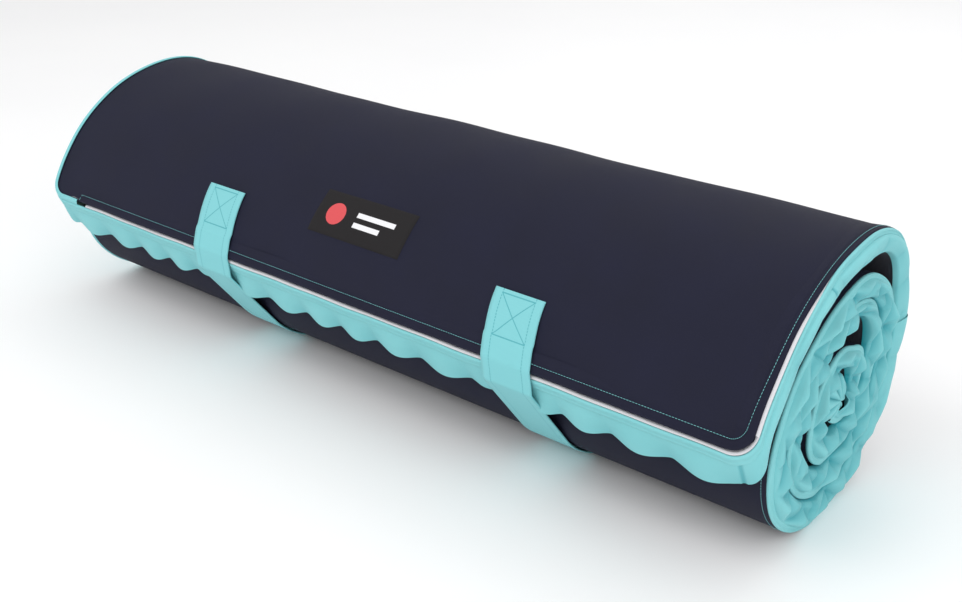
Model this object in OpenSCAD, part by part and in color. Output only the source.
// Rolled single-bed pressure relief mattress, lying on its side with its outer end as a flap.
// X runs along the roll, the flap faces -Y and the roll rests on Z = 0.

/* [Mattress] */
// Width of the mattress, which is the length of the roll
mattress_w = 970; // [700:10:1200]
// Length of the mattress unrolled
mattress_l = 1950; // [1500:10:2400]
// Thickness of the mattress as it is squeezed in the roll
rolled_t = 30; // [24:1:40]
// Clearance between one turn and the next
turn_gap = 0.5; // [0.3:0.1:2]

/* [Roll] */
// Mean inner radius of the innermost turn where the end starts to curl in
core_r = 14; // [12:1:30]
// How far the section is drawn out into an oval
oval = 12; // [0:0.5:14]
// Direction of the oval's long axis, above the +Y axis
oval_at = 38; // [0:1:90]
// How far one shoulder of the section is fuller than the others
shoulder = 3; // [0:0.5:4]
// Direction of the fuller shoulder
shoulder_at = 56; // [0:1:90]
// How far the roll has settled onto its flat underside
settle = 2.5; // [1:0.5:6]

/* [Flap] */
// Radius of the flap's outer face
flap_r = 210; // [180:5:260]
// Arc that the flap covers, in degrees
flap_sweep = 67.5; // [45:0.5:75]
// Extra thickness of the flap at its free end, where the foam is not squeezed
flap_swell = 3; // [0:0.5:6]
// How much thinner than the roll the flap is where it lies over the next turn
flap_ease = 2; // [1:0.5:4]
// How far the sleeping face overhangs at the free end
end_shear = 30; // [0:1:32]

/* [Cover] */
// Thickness of the cover cloth
cloth_t = 1.2; // [0.8:0.1:2]
// Depth of the plain foam layer
base_foam_t = 13; // [8:1:18]
// Width of the turned border at the zipped side
border_w = 10; // [6:1:16]
// Width of the piping at the other side
piping_w = 3; // [2:0.5:6]

/* [Zip] */
// Width of the zip tape along the flap's end
tape_w = 12; // [10:1:20]
// Thickness of the zip tape
tape_t = 0.8; // [0.6:0.1:1.2]
// Width of the closed coil
coil_w = 3; // [2:0.5:4]
// Height of the coil
coil_t = 1.2; // [0.8:0.1:2]
// Distance of the zip's two ends from the corners of the mattress
zip_inset = 32; // [20:1:60]
// Width of the placket that covers the zip
placket_w = 22; // [18:1:30]
// Length of the slider
slider_l = 12; // [8:1:16]
// Thickness of the slider's plate
slider_t = 1.6; // [1.4:0.1:2]
// Length of the pull tab
pull_l = 24; // [16:1:36]
// Width of the pull tab
pull_w = 4; // [3:0.5:5]
// Thickness of the pull tab
pull_t = 0.8; // [0.6:0.1:0.8]
// Clearance around the slider and the pull tab
slide_gap = 0.4; // [0.3:0.1:0.8]

/* [Straps] */
// Width of each strap
strap_w = 57; // [30:1:80]
// Thickness of the strap
strap_t = 1.2; // [0.8:0.1:2]
// Centre of the left strap along the roll
strap_left_x = -186; // [-350:1:-100]
// Centre of the right strap along the roll
strap_right_x = 230; // [130:1:350]
// Length of strap that is sewn onto the flap
anchor_l = 72; // [50:1:100]
// Straight drop of the strap below the flap's edge
strap_drop = 23; // [10:1:30]
// Clearance between the strap's tail and the lower corner of the flap's end
tail_gap = 1.5; // [1:0.5:4]
// Angle on the roll at which the strap comes onto it
strap_touch = -140; // [-150:1:-130]
// Angle on the roll at which the strap ends
strap_end = -112.5; // [-120:0.5:-110]
// Thickness of the hook pad and of the loop pad
pad_t = 0.8; // [0.5:0.1:1.5]
// Clearance between the hook pad and the loop pad
pad_gap = 0.4; // [0.3:0.1:1]

/* [Label] */
// Width of the sewn label
label_w = 128; // [60:1:160]
// Height of the sewn label
label_h = 50; // [20:1:60]
// Centre of the label along the roll
label_x = 11; // [-60:1:60]
// Distance of the label's lower edge from the flap's edge
label_up = 60; // [40:1:90]
// Thickness of the label
label_t = 0.8; // [0.5:0.1:1.2]

/* [Hidden] */

// Colours of the cloths and foams
NAVY = [0.18, 0.18, 0.24];
MESH = [0.12, 0.14, 0.20];
MINT = [0.51, 0.83, 0.84];
FOAM = [0.93, 0.91, 0.84];
TAPE = [0.88, 0.88, 0.90];

// The section is worked out in the YZ plane from the direction of its outward normal:
// 90 is up, 0 is back, -90 is down and -180 is front, and each turn takes 360 off it.
pitch = rolled_t + turn_gap;
top = 90;
half_w = mattress_w / 2;
inner_face = rolled_t - cloth_t;
profile_face = cloth_t + base_foam_t;
station = 7.5;

// How the innermost end curls in: its outer radius, and how far round it goes
curl_r = rolled_t + 3;
curl_sweep = 100;
curl_step = 20;

// Length of a round stretch, taken along the middle of the mattress
function arc_l(r, sweep) = (r - rolled_t / 2) * sweep * PI / 180;

// The spiral's length fixes its mean radius: the area of cloth and foam is the same rolled or flat
spiral_l = mattress_l - arc_l(flap_r, flap_sweep) - arc_l(curl_r, curl_sweep);
core_outer = core_r + rolled_t;
core_mid = core_r + rolled_t / 2;
mean_r = rolled_t / 2 + sqrt(spiral_l * pitch / PI + core_mid * core_mid);
turns = (mean_r - core_outer) / pitch;
last = top - 360 * turns;

// Distance of the outer face from the centre, measured along its normal, and its slope.
// The oval and the shoulder fade towards the core, where the turns are nearly round.
rad = 180 / PI;
fade_slope = 1 / (turns + 1) / 360;
function fade(a) = 1 - (top - a) * fade_slope;
function swing(a) = oval * cos(2 * (a - oval_at)) + shoulder * cos(3 * (a - shoulder_at));
function swing_slope(a) = -2 * oval * sin(2 * (a - oval_at)) - 3 * shoulder * sin(3 * (a - shoulder_at));
function reach(a) = mean_r - pitch * (top - a) / 360 + fade(a) * swing(a);
function reach_slope(a) = pitch / (2 * PI) + fade_slope * rad * swing(a) + fade(a) * swing_slope(a);

// The same for a face at depth d: it lies between this turn's outer face and the next turn's,
// because the foam fills the space between them
function mix(d, this, next) = this + d / rolled_t * (next - this);
function deep_reach(a, d) = mix(d, reach(a), reach(a - 360) + turn_gap);
function deep_slope(a, d) = mix(d, reach_slope(a), reach_slope(a - 360));

centre_z = reach(-90) - settle;
function unit(a) = [cos(a), sin(a)];
function along(a) = [-sin(a), cos(a)];

// A point of the spiral at depth d, before and after it settles on its flat
function free_spiral(a, d) = deep_reach(a, d) * unit(a) + deep_slope(a, d) * along(a) + [0, centre_z];
function turn_of(a) = floor((top - a) / 360);
function spiral(a, d) = let (p = free_spiral(a, d)) [p.x, max(p.y, turn_of(a) * pitch + d)];

// Every piece is drawn on the same stations, so faces that lie on each other have the same facets
function between(f, p, q) = p + f * (q - p);
function first_after(a) = floor((a - top) / station + 1.001);
function last_before(a) = ceil((a - top) / station - 1.001);
function stations(a0, a1) = last_before(a1) < first_after(a0) ? [] :
    [for (i = [first_after(a0) : last_before(a1)]) top + i * station];
function on_roll_face(a, d) = let (i = floor((a - top) / station), a0 = top + i * station)
    between((a - a0) / station, spiral(a0, d), spiral(min(a0 + station, top), d));

hinge = spiral(top, 0);
flap_centre = hinge - flap_r * unit(top);
flap_end = top + flap_sweep;

// The flap is an arc that leaves the roll at the hinge line and grows thicker to its end
function flap_swelling(a) = flap_swell * pow((a - top) / flap_sweep, 3);
function flap_depth(a, d) = d * (1 + (flap_swelling(a) - flap_ease) / rolled_t);
function flap_arc(a, d) = flap_centre + (flap_r - flap_depth(a, d)) * unit(a);
function flap_station(a, d) = a > top ? flap_arc(a, d) : spiral(top, d) - [turn_gap, 0];
function flap(a, d) = let (i = floor((a - top) / station), a0 = top + i * station)
    between((a - a0) / station, flap_station(a0, d), flap_station(a0 + station, d));
function flap_tip(d) = flap(flap_end, d) + end_shear * d / rolled_t * along(flap_end);
function flap_angle(mm) = mm / flap_r * 180 / PI;

// The innermost end curls in on an arc of its own
curl_centre = spiral(last, 0) - curl_r * unit(last);
function curl(a, d) = curl_centre + (curl_r - d) * unit(a);

function flip(list) = [for (i = [len(list) - 1 : -1 : 0]) list[i]];
function flap_line(a0, a1, d) = [for (a = concat([a0], stations(a0, a1), [a1])) flap(a, d)];
function roll_line(d) = concat(
    [for (a = [top : -station : last + 1]) spiral(a, d)],
    [spiral(last, d)],
    [for (a = [curl_step : curl_step : curl_sweep]) curl(last - a, d)]
);
function roll_part_line(a0, a1, d) = [for (a = concat([a0], stations(a0, a1), [a1])) on_roll_face(a, d)];

// A strap turns over the flap's edge here and hangs straight down before it crosses to the roll
strap_pivot = flap(flap_end, -cloth_t - strap_t / 2);
tail_start = strap_pivot + [-strap_t / 2, -strap_t];
tail_bend = tail_start + [0, -strap_drop];

// The origin is in the middle of the footprint, between the roll's back and the straps in front
middle_y = -(max([for (p = roll_line(0)) p.x]) + tail_start.x) / 2;

// A layer of the roll, of the flap, or a patch on either, between two depths and two places along X
module slab(x0, x1, outline) {
    translate([x0, middle_y, 0]) rotate([90, 0, 90]) linear_extrude(x1 - x0) polygon(outline);
}
module roll_layer(x0, x1, d0, d1) {
    slab(x0, x1, concat(roll_line(d0), flip(roll_line(d1))));
}
module flap_layer(x0, x1, d0, d1) {
    slab(x0, x1, concat(
        flap_line(top, flap_end, d0), [flap_tip(d0)],
        [flap_tip(d1)], flip(flap_line(top, flap_end, d1))));
}
module flap_patch(x0, x1, a0, a1, d0, d1) {
    slab(x0, x1, concat(flap_line(a0, a1, d0), flip(flap_line(a0, a1, d1))));
}

// The roll: everything that stays wound when the flap is lifted
module back_panel_roll() {
    color(NAVY) roll_layer(-half_w + piping_w, half_w - border_w, 0, cloth_t);
}
module foam_base_roll() {
    color(FOAM) roll_layer(-half_w + cloth_t, half_w - cloth_t, cloth_t, profile_face);
}
module foam_profile_roll() {
    color(FOAM) roll_layer(-half_w + cloth_t, half_w - cloth_t, profile_face, inner_face);
}
module sleep_panel_roll() {
    color(MESH) roll_layer(-half_w + cloth_t, half_w - cloth_t, inner_face, rolled_t);
}
module boxing_left_roll() {
    color(MINT) roll_layer(-half_w, -half_w + cloth_t, cloth_t, rolled_t);
}
module boxing_right_roll() {
    color(MINT) roll_layer(half_w - cloth_t, half_w, cloth_t, rolled_t);
}
module piping_left_roll() {
    color(MINT) roll_layer(-half_w, -half_w + piping_w, 0, cloth_t);
}
module border_right_roll() {
    color(MINT) roll_layer(half_w - border_w, half_w, 0, cloth_t);
}
// The foam of the inner end swells into the core and fills it, up to the last turn's inner face
core_gap = 1;
module boxing_inner_end() {
    finish = last - curl_sweep;
    color(MINT) slab(-half_w, half_w, concat(
        [curl(finish, 0)],
        [for (a = [finish + 345 : -station * 2 : last + 30]) spiral(a, rolled_t + core_gap)],
        [curl(finish, rolled_t)]));
}

// The hook and loop pads under the strap ends
pad_from = strap_touch + 3;
pad_to = strap_end - 2;
module on_roll(x, w, a0, a1, d0, d1) {
    slab(x - w / 2, x + w / 2,
        concat(roll_part_line(a0, a1, d0), flip(roll_part_line(a0, a1, d1))));
}
pad_w = strap_w - 10;
hook_face = -pad_t - pad_gap;
strap_face = hook_face - pad_t;
module loop_pad(x) {
    color(MINT) on_roll(x, pad_w, pad_from, pad_to, -pad_t, 0);
}
module hook_pad(x) {
    color(MINT) on_roll(x, pad_w, pad_from, pad_to, strap_face, hook_face);
}
module loop_pad_left() loop_pad(strap_left_x);
module loop_pad_right() loop_pad(strap_right_x);

// The zip lies in a channel under the placket, at the free edge of the flap
slider_face = slide_gap;
coil_face = slider_face + slider_t + slide_gap;
tape_face = coil_face + coil_t;
channel_face = tape_face + tape_t;
channel_from = flap_end - flap_angle(tape_w);
coil_at = flap_end - flap_angle(tape_w / 2);
coil_half = flap_angle(coil_w / 2);

// The flap: the outer end of the mattress, which lifts off the roll
module back_panel_flap() {
    color(NAVY) flap_patch(-half_w + piping_w, half_w - border_w, top, channel_from, 0, cloth_t);
}
module zip_channel(x0, x1) {
    slab(x0, x1, [
        flap(channel_from, 0), flap(channel_from, channel_face), flap(flap_end, channel_face),
        flap_tip(channel_face) + tape_w * along(flap_end), flap(flap_end, 0) + tape_w * along(flap_end)
    ]);
}
module foam_base_flap() {
    color(FOAM) difference() {
        flap_layer(-half_w + cloth_t, half_w - cloth_t, cloth_t, profile_face);
        zip_channel(-half_w, half_w);
    }
}
module foam_profile_flap() {
    color(FOAM) flap_layer(-half_w + cloth_t, half_w - cloth_t, profile_face, inner_face);
}
module sleep_panel_flap() {
    color(MESH) flap_layer(-half_w + cloth_t, half_w - cloth_t, inner_face, rolled_t);
}
module side_boxing_flap(x0) {
    color(MINT) difference() {
        flap_layer(x0, x0 + cloth_t, cloth_t, rolled_t);
        zip_channel(x0 - 1, x0 + cloth_t + 1);
    }
}
module boxing_left_flap() side_boxing_flap(-half_w);
module boxing_right_flap() side_boxing_flap(half_w - cloth_t);
module boxing_outer_end() {
    step = cloth_t * along(flap_end);
    color(MINT) slab(-half_w, half_w, [
        flap_tip(channel_face), flap_tip(rolled_t), flap_tip(rolled_t) + step, flap_tip(channel_face) + step
    ]);
}
module piping_left_flap() {
    color(MINT) flap_patch(-half_w, -half_w + piping_w, top, channel_from, 0, cloth_t);
}
module border_right_flap() {
    color(MINT) flap_patch(half_w - cloth_t, half_w, top, channel_from, 0, cloth_t);
}
module zip_tape() {
    color(TAPE) flap_patch(-half_w + piping_w, half_w - border_w,
        channel_from, flap_end, tape_face, channel_face);
}
module zip_tape_side() {
    color(TAPE) flap_patch(half_w - border_w, half_w - cloth_t, top, channel_from, 0, cloth_t);
}
zip_from = -half_w + zip_inset;
zip_to = half_w - zip_inset;
stop_l = 4;
module zip_coil() {
    color(TAPE) flap_patch(zip_from + stop_l, zip_to - stop_l,
        coil_at - coil_half, coil_at + coil_half, coil_face, tape_face);
}
module zip_stops() {
    for (x = [zip_from, zip_to - stop_l])
        color("silver") flap_patch(x, x + stop_l,
            coil_at - 1.4 * coil_half, coil_at + 1.4 * coil_half, coil_face - slide_gap / 2, tape_face);
}
module zip_placket() {
    color(NAVY) flap_patch(-half_w + piping_w, half_w - border_w,
        flap_end - flap_angle(placket_w), flap_end, -cloth_t, 0);
}
module label() {
    from = flap_end - flap_angle(label_up + label_h);
    to = flap_end - flap_angle(label_up);
    color([0.12, 0.11, 0.12]) flap_patch(label_x - label_w / 2, label_x + label_w / 2, from, to, -label_t, 0);
}

// A strap is sewn to the flap, steps over the placket and is cut off at the edge of the flap,
// where its tail starts
strap_from = flap_end - flap_angle(anchor_l);
strap_step = flap_end - flap_angle(placket_w + 2);
module strap_anchor(x) {
    low = flap_line(strap_from, strap_step, 0);
    high = flap_line(strap_step + flap_angle(1), flap_end, -cloth_t);
    low_top = flap_line(strap_from, strap_step, -strap_t);
    high_top = flap_line(strap_step + flap_angle(1), flap_end, -cloth_t - strap_t);
    color(MINT) slab(x - strap_w / 2, x + strap_w / 2,
        concat(low, high, flip(high_top), flip(low_top)));
}
module strap_left_anchor() strap_anchor(strap_left_x);
module strap_right_anchor() strap_anchor(strap_right_x);

// The tail drops from tail_start, crosses to the roll and ends on its underside. Where the straight
// way across would come too near the lower corner of the flap's end, the tail goes round that corner,
// and where it would cut into the roll, the tail lies on the roll.
tail_in = tail_bend + [strap_t, 0];
touch_in = on_roll_face(strap_touch, strap_face);
across = touch_in - tail_in;
outward = [across.y, -across.x] / norm(across);
corner = flap_tip(rolled_t) + cloth_t * along(flap_end);
round_corner = corner + tail_gap * outward;
corner_out = (corner - tail_in) * outward;
round_roll = [for (a = stations(top - 330, strap_touch))
    if ((on_roll_face(a, strap_face) - tail_in) * outward > 0) on_roll_face(a, strap_face)];
tail_way = concat([tail_in], corner_out > -tail_gap ? [round_corner] : [], round_roll);
module strap_tail(x) {
    color(MINT) slab(x - strap_w / 2, x + strap_w / 2, concat(
        [tail_start + [strap_t, 0]], tail_way,
        roll_part_line(strap_touch, strap_end, strap_face),
        flip(roll_part_line(strap_touch, strap_end, strap_face - strap_t)),
        [for (p = flip(tail_way)) p - [strap_t, 0]], [tail_start]));
}
module strap_left_tail() strap_tail(strap_left_x);
module strap_right_tail() strap_tail(strap_right_x);
module hook_pad_left() hook_pad(strap_left_x);
module hook_pad_right() hook_pad(strap_right_x);

// The slider straddles the coil, parked at its left end, with the pull tab lying along the coil.
// The tab turns on the slider's tongue, which reaches under it.
pull_pivot_x = zip_from + stop_l + pull_l + slide_gap;
slider_x = pull_pivot_x + pull_w / 2 + slide_gap;
flange = 1;
flange_gap = slide_gap + coil_w / 2;
module over_coil(x0, x1, w0, w1, d0, d1) {
    flap_patch(x0, x1, coil_at + flap_angle(w0), coil_at + flap_angle(w1), d0, d1);
}
module zip_slider() {
    side = flange_gap + flange;
    plate_under = slider_face + slider_t;
    flange_face = tape_face - slide_gap;
    tongue_face = slider_face + pull_t + 0.3;
    color("silver") {
        over_coil(slider_x, slider_x + slider_l, -side, side, slider_face, plate_under);
        over_coil(slider_x, slider_x + slider_l, -side, -flange_gap, plate_under, flange_face);
        over_coil(slider_x, slider_x + slider_l, flange_gap, side, plate_under, flange_face);
        over_coil(pull_pivot_x - 1, slider_x, -pull_w / 4, pull_w / 4, tongue_face, plate_under);
    }
}
module zip_pull() {
    color("silver") over_coil(pull_pivot_x - pull_l, pull_pivot_x, -pull_w / 2, pull_w / 2,
        slider_face, slider_face + pull_t);
}

back_panel_roll();
foam_base_roll();
foam_profile_roll();
sleep_panel_roll();
boxing_left_roll();
boxing_right_roll();
boxing_inner_end();
piping_left_roll();
border_right_roll();
loop_pad_left();
loop_pad_right();
back_panel_flap();
foam_base_flap();
foam_profile_flap();
sleep_panel_flap();
boxing_left_flap();
boxing_right_flap();
boxing_outer_end();
piping_left_flap();
border_right_flap();
zip_tape();
zip_tape_side();
zip_coil();
zip_stops();
zip_placket();
label();
strap_left_anchor();
strap_right_anchor();
strap_left_tail();
hook_pad_left();
strap_right_tail();
hook_pad_right();
zip_slider();
zip_pull();
